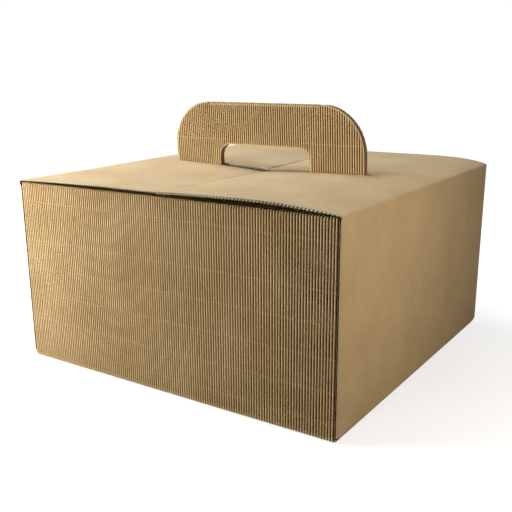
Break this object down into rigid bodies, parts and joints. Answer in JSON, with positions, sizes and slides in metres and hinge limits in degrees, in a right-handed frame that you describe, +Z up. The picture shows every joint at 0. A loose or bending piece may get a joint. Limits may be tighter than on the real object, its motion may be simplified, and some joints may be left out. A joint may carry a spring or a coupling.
{
  "type": "handled lunch box",
  "caption": "Carry box folded from open-fluted kraft card, with a fluted lid that forms an upright finger-hole handle through two slit top flaps.",
  "frame": {"origin": "centre of the base, on the surface that the box stands on", "axes": "+X to the right along the fluted front, +Y towards the back, +Z up"},
  "size_m": [0.33, 0.32, 0.237],
  "materials": {
    "fluted_card": "open kraft flutes, matt",
    "liner_card": "smooth kraft liner, matt"
  },
  "bodies": {
    "box": {"fluted_wrap": "fluted_card", "side_wrap": "liner_card"},
    "left_flap": {"left_flap": "liner_card"},
    "right_flap": {"right_flap": "liner_card"}
  },
  "joints": [
    {"name": "left_flap_hinge", "type": "hinge", "parent": "box", "child": "left_flap", "pos_m": [-0.165, 0, 0.171], "axis": [0, -1, 0], "range_deg": [0, 225]},
    {"name": "right_flap_hinge", "type": "hinge", "parent": "box", "child": "right_flap", "pos_m": [0.165, 0, 0.171], "axis": [0, 1, 0], "range_deg": [0, 225]}
  ]
}
